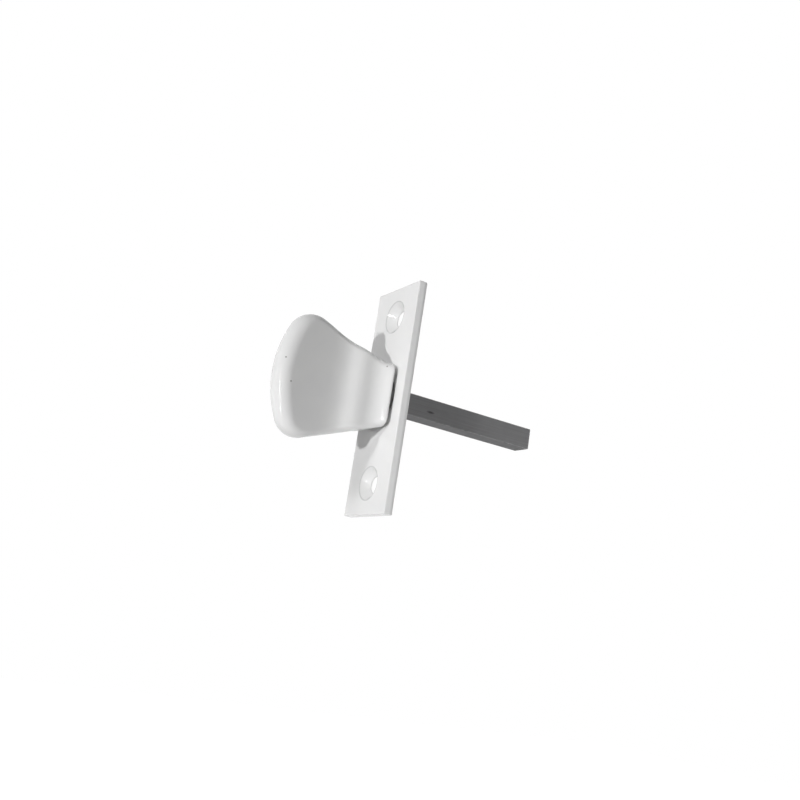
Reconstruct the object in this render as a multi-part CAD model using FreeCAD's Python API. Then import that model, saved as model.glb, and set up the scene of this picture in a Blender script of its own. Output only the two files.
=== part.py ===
"""Thumb turn: a waisted fan-shaped grip on a rectangular plate, with a square spindle.

Millimetres. +Z runs up the plate, +X to the right as seen from the room, and -Y out into the
room. The origin is on the spindle's axis, in the plane of the plate's back, which meets the door.
Distances "out" are measured from the plate's face towards the room.
"""
import FreeCAD, Part
import math
import os

Vec = FreeCAD.Vector
INTO_DOOR = Vec(0, 1, 0)
ACROSS = Vec(1, 0, 0)
UP = Vec(0, 0, 1)
HEX_SIDES = 6

# Face plate, its two countersunk holes and the recess in its back
plate_height = 75.0
plate_width = 25.0
plate_thick = 3.0
plate_round = 0.4
hole_spacing = 55.0
hole_d = 5.5
sink_d = 10.8
sink_angle = 90.0
recess_d = 20.0
recess_depth = 1.4

# Square spindle: how far it stands out behind the plate and how deep it sits in the grip
spindle_side = 7.0
spindle_reach = 55.0
spindle_chamfer = 0.4
spindle_depth = 9.0
socket_clearance = 0.05
socket_end_gap = 0.3

# Hub of the grip, which turns in the plate's bush
hub_d = 13.0
hub_end_length = 1.0
hub_chamfer = 0.3
running_clearance = 0.06
groove_depth = 0.3

# Thickness of the grip at its foot, shoulder, waist and flare, and where each one is
foot_gap = 1.2
foot_width = 16.4
foot_wall = 1.6
shoulder_width = 9.0
shoulder_out = 8.2
shoulder_ease = 5.0
waist_width = 4.6
waist_out = 17.2
bend_length = 3.0
flare_width = 7.8
flare_out = 31.0

# Outline of the grip as a fan, seen from its side
foot_height = 20.15
fan_height = 41.2
fan_out = 30.0
tip_out = 38.2
tip_arc_r = 36.0
tip_corner_r = 7.8

# Rounding of the grip's edges
rim_r = 4.1
long_edge_r = 2.0
foot_edge_r = 0.4

# Thrust washer in the gap under the foot
thrust_washer_d = 15.0
thrust_play = 0.1

# Flanged bush in the plate's bore
bush_wall = 0.95
bush_fit = 0.02
bush_flange_d = 18.6
bush_flange_thick = 0.5

# Wave washer, back washer and circlip, in their order along the hub
washer_clearance = 0.25
stack_play = 0.02
wave_washer_d = 17.6
wave_washer_thick = 0.3
wave_washer_height = 0.6
wave_count = 3
wave_points = 8
back_washer_d = 18.0
back_washer_thick = 0.5
circlip_thick = 1.0
circlip_band = 1.7
circlip_taper = 0.35
circlip_gap = 2.6
circlip_ear_d = 3.0
circlip_ear_hole_d = 1.4
groove_play = 0.1

# Grub screw in the underside of the neck
grub_d = 5.0
grub_length = 6.0
grub_out = 5.6
grub_key = 2.5
grub_key_depth = 2.4
grub_chamfer = 0.5
grub_clearance = 0.05

# Places along Y that follow from the sizes above
face_y = -plate_thick
foot_y = face_y - foot_gap
tip_y = face_y - tip_out
recess_y = -recess_depth
wave_y = recess_y + bush_flange_thick + stack_play
back_washer_y = wave_y + wave_washer_height + stack_play
groove_y = back_washer_y + back_washer_thick
groove_width = circlip_thick + groove_play
hub_end_y = groove_y + groove_width + hub_end_length
spindle_y = face_y - spindle_depth

# Radii and half sizes that follow from the hub and the spindle
hub_r = hub_d / 2
groove_r = hub_r - groove_depth
bush_bore_r = hub_r + running_clearance
bush_r = bush_bore_r + bush_wall
washer_bore_r = hub_r + washer_clearance
socket_half = spindle_side / 2 + socket_clearance


def disc(radius, start_y, length):
    """Cylinder about the spindle's axis, from start_y towards the door by length."""
    return Part.makeCylinder(radius, length, Vec(0, start_y, 0), INTO_DOOR)


def ring(outer_r, inner_r, start_y, length):
    return disc(outer_r, start_y, length).cut(disc(inner_r, start_y, length))


def square_bar(side, start_y, end_y):
    return Part.makeBox(side, end_y - start_y, side, Vec(-side / 2, start_y, -side / 2))


def mirrored(shape, normal):
    return shape.mirror(Vec(0, 0, 0), normal)


def varied_fillet(shape, rounded):
    """Round the edges listed as (number, radius at one end, radius at the other)."""
    doc = FreeCAD.newDocument("rounding")
    base = doc.addObject("Part::Feature", "base")
    base.Shape = shape
    fillet = doc.addObject("Part::Fillet", "fillet")
    fillet.Base = base
    fillet.Edges = rounded
    doc.recompute()
    result = fillet.Shape.copy()
    FreeCAD.closeDocument(doc.Name)
    return result


def make_face_plate():
    corner = Vec(-plate_width / 2, face_y, -plate_height / 2)
    plate = Part.makeBox(plate_width, plate_thick, plate_height, corner)
    plate = plate.makeFillet(plate_round, plate.Edges)
    plate = plate.cut(disc(bush_r + bush_fit, face_y, plate_thick))
    plate = plate.cut(disc(recess_d / 2, recess_y, recess_depth))
    sink_depth = (sink_d - hole_d) / 2 / math.tan(math.radians(sink_angle / 2))
    for side in (-1, 1):
        centre = Vec(0, face_y, side * hole_spacing / 2)
        hole = Part.makeCylinder(hole_d / 2, plate_thick, centre, INTO_DOOR)
        sink = Part.makeCone(sink_d / 2, hole_d / 2, sink_depth, centre, INTO_DOOR)
        plate = plate.cut(hole.fuse(sink))
    return plate


def flare_half(out):
    """Half thickness on the straight flare beyond the waist's bend."""
    slope_run = flare_out - waist_out - bend_length / 2
    slope = (flare_width - waist_width) / 2 / slope_run
    return flare_width / 2 + slope * (out - flare_out)


def profile_curve(side, *points):
    """Bezier curve in the X-Y plane through poles given as distance out and half thickness."""
    curve = Part.BezierCurve()
    curve.setPoles([Vec(side * half, face_y - out, 0) for out, half in points])
    return curve.toShape()


def thickness_face():
    """Closed thickness profile: foot, shoulder, waist and straight flare on both sides."""
    foot = foot_width / 2
    shoulder = shoulder_width / 2
    waist = waist_width / 2
    half_way = (shoulder_out + waist_out) / 2
    bend_middle = waist_out + bend_length / 2
    bend_end = waist_out + bend_length
    far_out = tip_out + rim_r
    edges = []
    for side in (1, -1):
        edges += [
            profile_curve(
                side,
                (foot_gap, foot),
                (foot_gap + foot_wall, foot),
                (shoulder_out - shoulder_ease, shoulder),
                (shoulder_out, shoulder),
            ),
            profile_curve(
                side,
                (shoulder_out, shoulder),
                (half_way, shoulder),
                (half_way, waist),
                (waist_out, waist),
            ),
            profile_curve(
                side,
                (waist_out, waist),
                (bend_middle, waist),
                (bend_end, flare_half(bend_end)),
            ),
            profile_curve(side, (bend_end, flare_half(bend_end)), (far_out, flare_half(far_out))),
        ]
    edges.append(profile_curve(1, (foot_gap, foot), (foot_gap, -foot)))
    edges.append(profile_curve(1, (far_out, flare_half(far_out)), (far_out, -flare_half(far_out))))
    return Part.Face(Part.Wire(Part.__sortEdges__(edges)))


def fan_points():
    """Upper half of the fan's outline: its foot, then the start, middle and end of its corner arc."""
    foot = Vec(0, foot_y, foot_height / 2)
    side_dir = (Vec(0, face_y - fan_out, fan_height / 2) - foot).normalize()
    inward = Vec(0, side_dir.z, -side_dir.y)
    if inward.z > 0:
        inward = inward * -1
    arc_centre = Vec(0, tip_y + tip_arc_r, 0)
    offset_foot = foot + inward * tip_corner_r
    to_centre = arc_centre - offset_foot
    along = to_centre.dot(side_dir)
    away = (to_centre - side_dir * along).Length
    reach = along + math.sqrt((tip_arc_r - tip_corner_r) ** 2 - away ** 2)
    centre = offset_foot + side_dir * reach
    start = centre - inward * tip_corner_r
    end = centre + (centre - arc_centre).normalize() * tip_corner_r
    middle = centre + ((start + end) * 0.5 - centre).normalize() * tip_corner_r
    return foot, start, middle, end


def fan_face():
    """Outline in the Y-Z plane: straight sides, rounded far corners and a bowed end."""
    foot, start, middle, end = fan_points()
    upper = [Part.makeLine(foot, start), Part.Arc(start, middle, end).toShape()]
    lower = [mirrored(edge, UP) for edge in upper]
    tip = Part.Arc(end, Vec(0, tip_y, 0), Vec(0, end.y, -end.z)).toShape()
    foot_line = Part.makeLine(foot, Vec(0, foot_y, -foot.z))
    return Part.Face(Part.Wire(Part.__sortEdges__(upper + [tip] + lower + [foot_line])))


def grip_blank():
    """The grip with sharp edges: its thickness profile cut to the fan's outline."""
    slab = thickness_face().extrude(UP * fan_height * 2)
    slab.translate(UP * -fan_height)
    fan = fan_face().extrude(ACROSS * foot_width * 2)
    fan.translate(ACROSS * -foot_width)
    return slab.common(fan)


def side_radius(point):
    """Rounding of the long edges, which grows from the bend to the rim."""
    bend_end_y = face_y - waist_out - bend_length
    rim_start_y = fan_points()[-1].y
    share = (bend_end_y - point.y) / (bend_end_y - rim_start_y)
    share = min(max(share, 0), 1)
    rim = min(rim_r, flare_half(tip_out - rim_r))
    long_edge = min(long_edge_r, waist_width / 2 - foot_edge_r / 2)
    return long_edge + (rim - long_edge) * share


def outline_angle(point):
    """Angle round the middle of the foot, which grows steadily along the fan's outline."""
    return math.atan2(point.z, foot_y - point.y)


def side_rounding(numbered_edges):
    """Radii for the run of long edges, all in the direction in which its first edge goes."""
    rounded = []
    for number, edge in numbered_edges:
        ends = [edge.valueAt(edge.FirstParameter), edge.valueAt(edge.LastParameter)]
        upwards = outline_angle(ends[1]) > outline_angle(ends[0])
        if not rounded:
            run_upwards = upwards
        if upwards != run_upwards:
            ends.reverse()
        rounded.append((number, side_radius(ends[0]), side_radius(ends[1])))
    return rounded


def grip_body():
    """Both halves of the cast grip, which meet on its parting plane at x = 0."""
    blank = grip_blank()
    foot_edges = []
    side_edges = []
    for number, edge in enumerate(blank.Edges, start=1):
        box = edge.BoundBox
        if box.YMin > foot_y - foot_edge_r and box.XMax > 0:
            foot_edges.append((number, foot_edge_r, foot_edge_r))
        elif box.XMin > 0 and box.YLength > foot_edge_r:
            side_edges.append((number, edge))
    rounded = varied_fillet(blank, foot_edges + side_rounding(side_edges))
    size = 4 * tip_out
    right_side = Part.makeBox(size, size, size, Vec(0, -size / 2, -size / 2))
    half = rounded.common(right_side)
    return half.fuse(mirrored(half, ACROSS)).removeSplitter()


def grub_place(length, start_z):
    """Frame for things on the grub screw's axis, which points down from the spindle."""
    return Vec(0, face_y - grub_out, -start_z - length)


def make_thumb_grip():
    hub_length = hub_end_y - foot_y + foot_edge_r
    hub = disc(hub_r, foot_y - foot_edge_r, hub_length)
    hub_rim = [edge for edge in hub.Edges if edge.BoundBox.YMin > hub_end_y - hub_chamfer]
    hub = hub.makeChamfer(hub_chamfer, hub_rim)
    grip = grip_body().fuse(hub)
    grip = grip.cut(square_bar(2 * socket_half, spindle_y - socket_end_gap, hub_end_y))
    grip = grip.cut(ring(hub_d, groove_r, groove_y, groove_width))
    bore_length = foot_height
    bore = Part.makeCylinder(grub_d / 2 + grub_clearance, bore_length, grub_place(bore_length, 0), UP)
    return grip.cut(bore).removeSplitter()


def make_square_spindle():
    bar = square_bar(spindle_side, spindle_y, spindle_reach)
    ends = [edge for edge in bar.Edges if edge.BoundBox.YLength < spindle_chamfer]
    return bar.makeChamfer(spindle_chamfer, ends)


def make_grub_screw():
    start = spindle_side / 2 + stack_play
    screw = Part.makeCylinder(grub_d / 2, grub_length, grub_place(grub_length, start), UP)
    rims = [edge for edge in screw.Edges if edge.BoundBox.ZLength < grub_chamfer]
    screw = screw.makeChamfer(grub_chamfer, rims)
    corner_r = grub_key / math.sqrt(3)
    mouth = grub_place(grub_length, start)
    corners = []
    for step in range(HEX_SIDES + 1):
        angle = 2 * math.pi * step / HEX_SIDES
        corners.append(mouth + Vec(corner_r * math.cos(angle), corner_r * math.sin(angle), 0))
    key = Part.Face(Part.makePolygon(corners)).extrude(UP * grub_key_depth)
    return screw.cut(key)


def make_thrust_washer():
    return ring(thrust_washer_d / 2, washer_bore_r, foot_y + thrust_play, foot_gap - thrust_play)


def make_bearing_bush():
    sleeve = disc(bush_r, face_y, plate_thick - recess_depth)
    flange = disc(bush_flange_d / 2, recess_y, bush_flange_thick)
    bore = disc(bush_bore_r, face_y, plate_thick)
    return sleeve.fuse(flange).cut(bore).removeSplitter()


def wave_edge(radius, middle_y, swing):
    """Closed curve round the hub that waves along Y."""
    points = []
    steps = wave_points * wave_count
    for step in range(steps):
        angle = 2 * math.pi * step / steps
        wave = swing * math.cos(wave_count * angle)
        points.append(Vec(radius * math.cos(angle), middle_y + wave, radius * math.sin(angle)))
    curve = Part.BSplineCurve()
    curve.interpolate(Points=points, PeriodicFlag=True)
    return curve.toShape()


def make_wave_washer():
    swing = (wave_washer_height - wave_washer_thick) / 2
    inner = wave_edge(washer_bore_r, wave_y + swing, swing)
    outer = wave_edge(wave_washer_d / 2, wave_y + swing, swing)
    return Part.makeRuledSurface(inner, outer).extrude(INTO_DOOR * wave_washer_thick)


def make_back_washer():
    return ring(back_washer_d / 2, washer_bore_r, back_washer_y, back_washer_thick)


def make_circlip():
    """Tapered retaining ring with two eared ends, open at its lower side."""
    start_y = groove_y + groove_play / 2
    outer_r = groove_r + circlip_band
    outer = Part.makeCylinder(outer_r, circlip_thick, Vec(0, start_y, circlip_taper), INTO_DOOR)
    ear_x = circlip_gap / 2 + circlip_ear_d / 2
    ear_z = -(groove_r + circlip_ear_d / 2)
    holes = []
    for side in (-1, 1):
        place = Vec(side * ear_x, start_y, ear_z)
        outer = outer.fuse(Part.makeCylinder(circlip_ear_d / 2, circlip_thick, place, INTO_DOOR))
        holes.append(Part.makeCylinder(circlip_ear_hole_d / 2, circlip_thick, place, INTO_DOOR))
    slot_corner = Vec(-circlip_gap / 2, start_y, -2 * outer_r)
    slot = Part.makeBox(circlip_gap, circlip_thick, 2 * outer_r, slot_corner)
    clip = outer.cut(disc(groove_r + stack_play, start_y, circlip_thick)).cut(slot)
    for hole in holes:
        clip = clip.cut(hole)
    return clip


MAKERS = {
    "face_plate": make_face_plate,
    "thumb_grip": make_thumb_grip,
    "square_spindle": make_square_spindle,
    "grub_screw": make_grub_screw,
    "thrust_washer": make_thrust_washer,
    "bearing_bush": make_bearing_bush,
    "wave_washer": make_wave_washer,
    "back_washer": make_back_washer,
    "circlip": make_circlip,
}


def main():
    os.makedirs("parts", exist_ok=True)
    for name, make in MAKERS.items():
        shape = make()
        print(name, "solids", len(shape.Solids), "volume", round(shape.Volume, 2), "valid", shape.isValid())
        shape.exportStep("parts/" + name + ".step")


main()
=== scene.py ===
"""Thumb turn: white gloss paint, a dark square spindle and the small parts of its bearing."""

import math

import bpy
from mathutils import Matrix, Vector

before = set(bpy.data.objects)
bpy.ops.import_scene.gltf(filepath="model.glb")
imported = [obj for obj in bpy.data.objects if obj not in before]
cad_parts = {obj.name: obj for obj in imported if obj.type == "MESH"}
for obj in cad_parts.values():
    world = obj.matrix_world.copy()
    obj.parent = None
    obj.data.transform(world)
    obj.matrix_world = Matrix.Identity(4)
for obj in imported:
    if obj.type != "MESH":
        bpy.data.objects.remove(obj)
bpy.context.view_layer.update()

MM = 0.001

# Camera, as the photograph has it
VIEW_AZIMUTH = math.radians(59.931)
VIEW_ELEVATION = math.radians(-13.516)
VIEW_ROLL = math.radians(8.909)
VIEW_DISTANCE = 317.461 * MM
VIEW_ACROSS = 3.212 * MM
VIEW_UP = 0.793 * MM
SENSOR_MM = 36.0
IMAGE_PX = 800
FOCAL_PX = 993.614
CLIP_START = 0.01
CLIP_END = 10.0

# Floor and background
FLOOR_Z = -0.45
FLOOR_HALF = 4.0
FLOOR_COLOUR = (0.80, 0.80, 0.80)
FLOOR_ROUGH = 0.9
FLOOR_LIFT_NEAR = 0.70
FLOOR_LIFT_FAR = 1.0
SHADOW_REACH = (0.4, 1.2)
WORLD_FILL = 0.02
WHITE = (1.0, 1.0, 1.0, 1.0)

# Parts of the noise's range that a finish is spread over
NOISE_MIDDLE = (0.35, 0.65)
NOISE_WIDE = (0.3, 0.7)

# Gloss paint
PAINT_LIGHT = (0.81, 0.81, 0.805)
PAINT_SHADE = (0.79, 0.79, 0.79)
PAINT_ROUGH = (0.05, 0.08)
BLOTCH_SIZE = 9 * MM
GLOSS_SIZE = 4 * MM
PEEL_SIZE = 1.3 * MM
PEEL_DETAIL = 1.0
PEEL_HEIGHT = 0.004 * MM
PAINT_EDGE = 0.45 * MM

# Painted shade on the plate: a darker ring at each countersink's edge and a darker band along the
# back edge
SINK_HEIGHT = 27.5 * MM
SINK_RADIUS = 5.4 * MM
RING_REACH = 0.28 * MM
RING_BEHIND = -2.5 * MM
BAND_HALF_WIDTH = 12.3 * MM
BAND_HALF_HEIGHT = 37.3 * MM
BAND_DEPTH = 1.3 * MM
BAND_FULL = 0.5 * MM
EDGE_SHADE_COLOUR = (0.56, 0.56, 0.56)

# Dust specks in the grip's paint
SPECK_COLOUR = (0.36, 0.35, 0.34)
SPECK_PLACES = ((6.3, -6.4, 8.8), (3.5, -39.4, 3.0), (4.2, -36.7, -3.9))
SPECK_RADIUS = 0.32 * MM
SPECK_CORE = 0.6

# Square spindle
SPINDLE_HALF_SIDE = 3.5 * MM
STEEL_DARK = (0.148, 0.148, 0.150)
STEEL_LIGHT = (0.180, 0.180, 0.183)
STEEL_ROUGH = (0.55, 0.70)
STEEL_METALLIC = 0.15
STEEL_SPECULAR = 0.1
DRAW_LINE_WIDTH = 0.35 * MM
DRAW_LINE_STRETCH = 60
DRAW_LINE_HEIGHT = 0.008 * MM
DRAW_LINE_SHARE = 0.6
SCUFF_SIZE = 5 * MM
SCUFF_SHARE = 0.4
# Lighter long edges of the bar: wear, and a painted highlight along the edges
STEEL_EDGE_WORN_AND_LIT = (0.36, 0.36, 0.36)
STEEL_EDGE_RADIUS = 0.25 * MM
EDGE_WORN_AND_LIT_WIDTH = 0.30 * MM
WEAR_AND_HIGHLIGHT_SIZE = 1.5 * MM

# Short dark scratch on the spindle
NICK_COLOUR = (0.05, 0.05, 0.05)
NICK_ALONG = 13.7 * MM
NICK_HEIGHT = -0.8 * MM
NICK_LENGTH = 1.7 * MM
NICK_WIDTH = 0.5 * MM

# Small steel parts
METAL_TONE_SIZE = 3 * MM
METAL_GLOSS_SIZE = 1.2 * MM
METAL_ROUGH_SPREAD = (-0.06, 0.08)
METAL_GRAIN = 0.4 * MM
METAL_GRAIN_HEIGHT = 0.004 * MM

# Small plastic parts
PLASTIC_TONE_SIZE = 5 * MM
PLASTIC_GLOSS_SIZE = 2 * MM
PLASTIC_ROUGH_SPREAD = (-0.05, 0.07)
PLASTIC_GRAIN = 0.25 * MM
PLASTIC_GRAIN_HEIGHT = 0.005 * MM


def make_camera():
    back = Vector((math.sin(VIEW_AZIMUTH) * math.cos(VIEW_ELEVATION),
                   -math.cos(VIEW_AZIMUTH) * math.cos(VIEW_ELEVATION),
                   math.sin(VIEW_ELEVATION)))
    right = Vector((math.cos(VIEW_AZIMUTH), math.sin(VIEW_AZIMUTH), 0.0))
    up = back.cross(right)
    place = back * VIEW_DISTANCE + right * VIEW_ACROSS + up * VIEW_UP
    turn = Matrix((right, up, back)).transposed() @ Matrix.Rotation(VIEW_ROLL, 3, "Z")
    data = bpy.data.cameras.new("camera")
    data.sensor_width = SENSOR_MM
    data.lens = FOCAL_PX * SENSOR_MM / IMAGE_PX
    data.clip_start = CLIP_START
    data.clip_end = CLIP_END
    camera = bpy.data.objects.new("camera", data)
    camera.matrix_world = Matrix.Translation(place) @ turn.to_4x4()
    bpy.context.collection.objects.link(camera)
    bpy.context.scene.camera = camera


class Finish:
    """A material with its shader, and short ways to add the nodes that vary it."""

    def __init__(self, name):
        self.material = bpy.data.materials.new(name)
        self.material.use_nodes = True
        self.tree = self.material.node_tree
        self.shader = self.tree.nodes["Principled BSDF"]
        self.place = self.node("ShaderNodeTexCoord").outputs["Object"]

    def node(self, kind):
        return self.tree.nodes.new(kind)

    def link(self, source, target):
        self.tree.links.new(source, target)

    def axes(self):
        """The surface point's X, Y and Z."""
        parts = self.node("ShaderNodeSeparateXYZ")
        self.link(self.place, parts.inputs["Vector"])
        return parts.outputs["X"], parts.outputs["Y"], parts.outputs["Z"]

    def noise(self, size, stretch=(1, 1, 1), detail=3.0):
        """Noise whose features are about as large as size, longer along a stretched axis."""
        mapping = self.node("ShaderNodeMapping")
        mapping.inputs["Scale"].default_value = [1 / (size * along) for along in stretch]
        noise = self.node("ShaderNodeTexNoise")
        noise.inputs["Scale"].default_value = 1.0
        noise.inputs["Detail"].default_value = detail
        self.link(self.place, mapping.inputs["Vector"])
        self.link(mapping.outputs["Vector"], noise.inputs["Vector"])
        return noise.outputs["Fac"]

    def ranged(self, value, from_low, from_high, low=0.0, high=1.0):
        """The value, spread from one range to another and kept within it."""
        node = self.node("ShaderNodeMapRange")
        node.inputs["From Min"].default_value = from_low
        node.inputs["From Max"].default_value = from_high
        node.inputs["To Min"].default_value = low
        node.inputs["To Max"].default_value = high
        self.link(value, node.inputs["Value"])
        return node.outputs["Result"]

    def math(self, operation, first, second=0):
        """One sum; each term is a number or another node's output."""
        node = self.node("ShaderNodeMath")
        node.operation = operation
        for value, socket in zip((first, second), node.inputs):
            if isinstance(value, (int, float)):
                socket.default_value = value
            else:
                self.link(value, socket)
        return node.outputs["Value"]

    def square_sum(self, first, second):
        return self.math("ADD", self.math("MULTIPLY", first, first),
                         self.math("MULTIPLY", second, second))

    def blend(self, share, first, second):
        """Colour between first and second; each is a colour or another node's output."""
        node = self.node("ShaderNodeMix")
        node.data_type = "RGBA"
        self.link(share, node.inputs["Factor"])
        for value, socket in ((first, node.inputs[6]), (second, node.inputs[7])):
            if isinstance(value, tuple):
                socket.default_value = (*value, 1.0)
            else:
                self.link(value, socket)
        return node.outputs[2]

    def colour(self, value):
        self.link(value, self.shader.inputs["Base Color"])

    def roughness(self, value):
        self.link(value, self.shader.inputs["Roughness"])

    def bump(self, height, depth, edge_radius=0.0):
        """Bumps, on edges that look rounded where a radius is given."""
        node = self.node("ShaderNodeBump")
        node.inputs["Strength"].default_value = 1.0
        node.inputs["Distance"].default_value = depth
        self.link(height, node.inputs["Height"])
        if edge_radius:
            rounded = self.node("ShaderNodeBevel")
            rounded.samples = 8
            rounded.inputs["Radius"].default_value = edge_radius
            self.link(rounded.outputs["Normal"], node.inputs["Normal"])
        self.link(node.outputs["Normal"], self.shader.inputs["Normal"])


def dust_specks(finish):
    """Mask of the few small specks."""
    total = None
    for place in SPECK_PLACES:
        away = finish.node("ShaderNodeVectorMath")
        away.operation = "DISTANCE"
        away.inputs[1].default_value = [value * MM for value in place]
        finish.link(finish.place, away.inputs[0])
        core = SPECK_CORE * SPECK_RADIUS
        speck = finish.ranged(away.outputs["Value"], core, SPECK_RADIUS, 1.0, 0.0)
        total = speck if total is None else finish.math("MAXIMUM", total, speck)
    return total


def painted_edge_shade(finish):
    """Mask of painted shade: a ring at the edge of both countersinks in the plate's face, and a
    band along the plate's back edge.
    """
    across, depth, along = finish.axes()
    sideways = finish.math("ABSOLUTE", across)
    height = finish.math("ABSOLUTE", along)
    from_hole = finish.math("SUBTRACT", height, SINK_HEIGHT)
    radius = finish.math("SQRT", finish.square_sum(sideways, from_hole))
    off_edge = finish.math("ABSOLUTE", finish.math("SUBTRACT", radius, SINK_RADIUS))
    on_face = finish.math("LESS_THAN", depth, RING_BEHIND)
    ring = finish.math("MULTIPLY", finish.ranged(off_edge, 0, RING_REACH, 1.0, 0.0), on_face)
    on_side = finish.math("GREATER_THAN", sideways, BAND_HALF_WIDTH)
    on_end = finish.math("GREATER_THAN", height, BAND_HALF_HEIGHT)
    near_back = finish.ranged(depth, -BAND_DEPTH, -BAND_FULL)
    band = finish.math("MULTIPLY", near_back, finish.math("MAXIMUM", on_side, on_end))
    return finish.math("MAXIMUM", ring, band)


def gloss_paint(name, marks, mark_colour):
    """White gloss paint; marks gives the mask of its darker marks: painted shade on the plate, dust
    specks on the grip.
    """
    finish = Finish(name)
    blotches = finish.ranged(finish.noise(BLOTCH_SIZE), *NOISE_MIDDLE)
    coat = finish.blend(blotches, PAINT_SHADE, PAINT_LIGHT)
    finish.colour(finish.blend(marks(finish), coat, mark_colour))
    finish.roughness(finish.ranged(finish.noise(GLOSS_SIZE), *NOISE_WIDE, *PAINT_ROUGH))
    finish.bump(finish.noise(PEEL_SIZE, detail=PEEL_DETAIL), PEEL_HEIGHT, PAINT_EDGE)
    return finish.material


def edges_worn_and_highlit(finish, half_side):
    """Mask along the four long edges of a square bar about the Y axis: wear, and a painted
    highlight on the edges.
    """
    across, _, upright = finish.axes()
    nearer = finish.math("MINIMUM", finish.math("ABSOLUTE", across),
                         finish.math("ABSOLUTE", upright))
    ragged = finish.ranged(finish.noise(WEAR_AND_HIGHLIGHT_SIZE), *NOISE_MIDDLE)
    band = finish.ranged(nearer, half_side - EDGE_WORN_AND_LIT_WIDTH, half_side)
    return finish.math("MULTIPLY", band, ragged)


def nick(finish):
    """Mask of a short dark scratch along the bar, on its right face."""
    across, along, upright = finish.axes()
    lengthwise = finish.math("DIVIDE", finish.math("SUBTRACT", along, NICK_ALONG), NICK_LENGTH)
    crosswise = finish.math("DIVIDE", finish.math("SUBTRACT", upright, NICK_HEIGHT), NICK_WIDTH)
    scratch = finish.ranged(finish.square_sum(lengthwise, crosswise), 0.0, 1.0, 1.0, 0.0)
    return finish.math("MULTIPLY", scratch, finish.math("GREATER_THAN", across, 0))


def drawn_steel(name, half_side):
    finish = Finish(name)
    lines = finish.noise(DRAW_LINE_WIDTH, (1, DRAW_LINE_STRETCH, 1))
    scuffs = finish.noise(SCUFF_SIZE)
    tone = finish.math("ADD", finish.math("MULTIPLY", lines, DRAW_LINE_SHARE),
                       finish.math("MULTIPLY", scuffs, SCUFF_SHARE))
    metal = finish.blend(finish.ranged(tone, *NOISE_MIDDLE), STEEL_DARK, STEEL_LIGHT)
    # Lighter edges: wear, and a painted highlight along the edges.
    wear_and_highlight = finish.blend(edges_worn_and_highlit(finish, half_side), metal, STEEL_EDGE_WORN_AND_LIT)
    finish.colour(finish.blend(nick(finish), wear_and_highlight, NICK_COLOUR))
    finish.roughness(finish.ranged(scuffs, *NOISE_WIDE, *STEEL_ROUGH))
    finish.bump(lines, DRAW_LINE_HEIGHT, STEEL_EDGE_RADIUS)
    finish.shader.inputs["Metallic"].default_value = STEEL_METALLIC
    finish.shader.inputs["Specular IOR Level"].default_value = STEEL_SPECULAR
    return finish.material


def small_metal(name, dark, light, metallic, rough):
    """Plated, oiled or blackened steel of a small part."""
    finish = Finish(name)
    tone = finish.ranged(finish.noise(METAL_TONE_SIZE), *NOISE_MIDDLE)
    finish.colour(finish.blend(tone, dark, light))
    spread = [rough + more for more in METAL_ROUGH_SPREAD]
    finish.roughness(finish.ranged(finish.noise(METAL_GLOSS_SIZE), *NOISE_WIDE, *spread))
    finish.bump(finish.noise(METAL_GRAIN), METAL_GRAIN_HEIGHT)
    finish.shader.inputs["Metallic"].default_value = metallic
    return finish.material


def moulded_plastic(name, dark, light, rough):
    finish = Finish(name)
    tone = finish.ranged(finish.noise(PLASTIC_TONE_SIZE), *NOISE_MIDDLE)
    finish.colour(finish.blend(tone, dark, light))
    spread = [rough + more for more in PLASTIC_ROUGH_SPREAD]
    finish.roughness(finish.ranged(finish.noise(PLASTIC_GLOSS_SIZE), *NOISE_WIDE, *spread))
    finish.bump(finish.noise(PLASTIC_GRAIN), PLASTIC_GRAIN_HEIGHT)
    return finish.material


def dress(name, material):
    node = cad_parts[name]
    node.data.materials.clear()
    node.data.materials.append(material)


def seen_directly(tree):
    """One for camera, glossy and transmission rays, and zero for the light that falls on things."""
    path = tree.nodes.new("ShaderNodeLightPath")
    total = path.outputs["Is Camera Ray"]
    for name in ("Is Glossy Ray", "Is Transmission Ray"):
        larger = tree.nodes.new("ShaderNodeMath")
        larger.operation = "MAXIMUM"
        tree.links.new(total, larger.inputs[0])
        tree.links.new(path.outputs[name], larger.inputs[1])
        total = larger.outputs["Value"]
    return total


def make_world():
    """White where seen, and a faint fill where it lights things."""
    world = bpy.data.worlds.new("world")
    world.use_nodes = True
    tree = world.node_tree
    background = tree.nodes["Background"]
    background.inputs["Color"].default_value = WHITE
    strength = tree.nodes.new("ShaderNodeMapRange")
    strength.inputs["To Min"].default_value = WORLD_FILL
    tree.links.new(seen_directly(tree), strength.inputs["Value"])
    tree.links.new(strength.outputs["Result"], background.inputs["Strength"])
    bpy.context.scene.world = world


def make_floor():
    """Pale floor below the camera, lifted to white where seen, which keeps the object's shadow."""
    corners = [(-1, -1), (1, -1), (1, 1), (-1, 1)]
    mesh = bpy.data.meshes.new("floor")
    mesh.from_pydata([(x * FLOOR_HALF, y * FLOOR_HALF, 0) for x, y in corners], [], [(0, 1, 2, 3)])
    floor = bpy.data.objects.new("floor", mesh)
    floor.location.z = FLOOR_Z
    bpy.context.collection.objects.link(floor)
    finish = Finish("floor_white")
    finish.shader.inputs["Base Color"].default_value = (*FLOOR_COLOUR, 1.0)
    finish.shader.inputs["Roughness"].default_value = FLOOR_ROUGH
    finish.shader.inputs["Emission Color"].default_value = WHITE
    reach = finish.node("ShaderNodeVectorMath")
    reach.operation = "LENGTH"
    finish.link(finish.place, reach.inputs[0])
    lift = finish.ranged(reach.outputs["Value"], *SHADOW_REACH, FLOOR_LIFT_NEAR, FLOOR_LIFT_FAR)
    seen = finish.math("MULTIPLY", lift, seen_directly(finish.tree))
    finish.link(seen, finish.shader.inputs["Emission Strength"])
    mesh.materials.append(finish.material)


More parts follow.
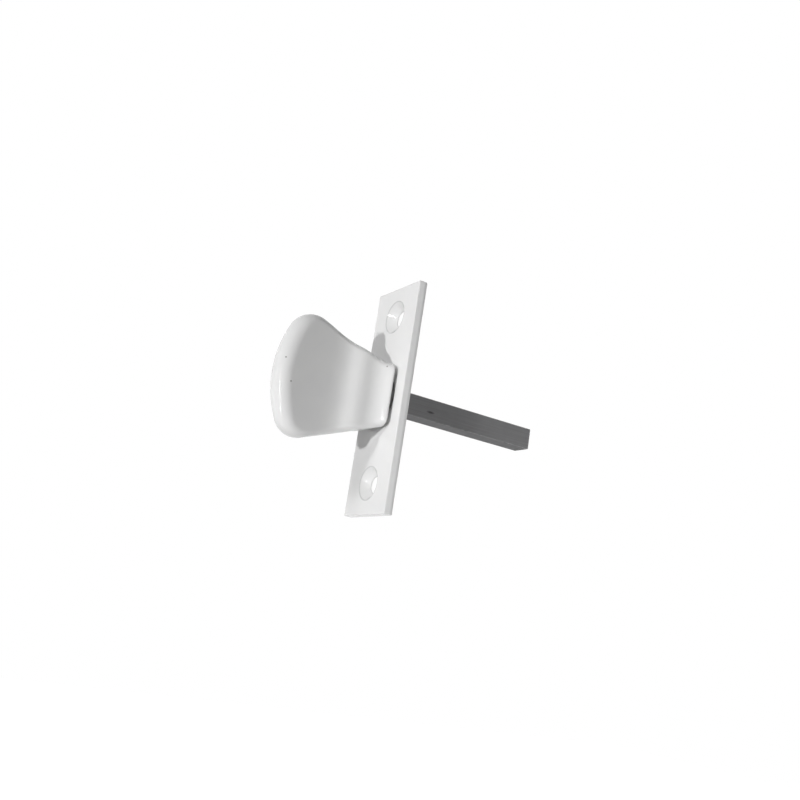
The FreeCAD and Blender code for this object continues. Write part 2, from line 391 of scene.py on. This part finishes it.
def lamp(name, direction, distance, size, power):
    """Square lamp that faces the origin; sizes and distances in metres, power in watts."""
    data = bpy.data.lights.new(name, "AREA")
    data.size = size
    data.energy = power
    light = bpy.data.objects.new(name, data)
    to = Vector(direction).normalized()
    light.location = to * distance
    light.rotation_mode = "QUATERNION"
    light.rotation_quaternion = to.to_track_quat("Z", "Y")
    light.visible_camera = False
    bpy.context.collection.objects.link(light)
    return light


def soft_lamp(name, direction, distance, size, power):
    """Lamp that isn't mirrored in the gloss."""
    lamp(name, direction, distance, size, power).visible_glossy = False


def pane(name, direction, distance, width, height, power):
    """Narrow lamp that is only mirrored in the gloss."""
    light = lamp(name, direction, distance, width, power)
    light.data.shape = "RECTANGLE"
    light.data.size_y = height
    light.visible_diffuse = False


def make_lamps():
    soft_lamp("key_low", (0.28, -1.0, -0.14), 3.0, 0.13, 49)
    soft_lamp("key_high", (0.30, -1.0, 0.42), 3.0, 0.53, 23)
    soft_lamp("key_top", (0.28, -0.9, 0.75), 3.0, 0.9, 11)
    soft_lamp("below_front", (0.22, -0.40, -0.88), 0.42, 0.25, 0.25)
    soft_lamp("right_low", (0.80, 0.30, -0.55), 0.5, 0.2, 0.33)
    soft_lamp("right_back", (0.75, 0.55, -0.45), 0.15, 0.08, 0.04)
    soft_lamp("behind_right", (0.20, 0.98, -0.03), 0.30, 0.04, 0.6)
    soft_lamp("left_back", (-0.85, 0.45, 0.25), 1.0, 0.6, 1.2)
    pane("pane_high", (0.46, -1.0, 0.18), 0.9, 0.03, 0.06, 0.25)
    pane("pane_middle", (0.46, -1.0, -0.08), 0.9, 0.03, 0.18, 0.8)
    pane("pane_low", (0.50, -1.0, -0.34), 0.9, 0.03, 0.06, 0.35)
    pane("pane_below", (0.40, -0.47, -0.79), 0.9, 0.04, 0.04, 1.5)
    pane("pane_behind", (0.66, 0.33, -0.67), 0.9, 0.04, 0.04, 1.5)


def dress_all():
    # The plate's paint is darkened by painted shade at the countersinks' edges and along the back
    # edge.
    dress("face_plate", gloss_paint("plate_paint", painted_edge_shade, EDGE_SHADE_COLOUR))
    dress("thumb_grip", gloss_paint("grip_paint", dust_specks, SPECK_COLOUR))
    dress("square_spindle", drawn_steel("spindle_steel", SPINDLE_HALF_SIDE))
    dress("grub_screw",
          small_metal("screw_steel", (0.03, 0.03, 0.03), (0.06, 0.06, 0.06), 0.6, 0.45))
    dress("circlip",
          small_metal("clip_steel", (0.09, 0.085, 0.08), (0.16, 0.155, 0.15), 0.8, 0.38))
    zinc = small_metal("washer_steel", (0.48, 0.48, 0.50), (0.60, 0.60, 0.61), 0.9, 0.32)
    dress("wave_washer", zinc)
    dress("back_washer", zinc)
    dress("bearing_bush",
          moulded_plastic("bush_plastic", (0.76, 0.74, 0.68), (0.82, 0.80, 0.74), 0.45))
    # Dark plastic thrust washer; its darkness is painted shade for the gap under the grip's foot.
    dress("thrust_washer",
          moulded_plastic("thrust_plastic", (0.07, 0.07, 0.07), (0.10, 0.10, 0.10), 0.5))


dress_all()
make_camera()
make_world()
make_floor()
make_lamps()
bpy.context.scene.view_settings.view_transform = "Standard"
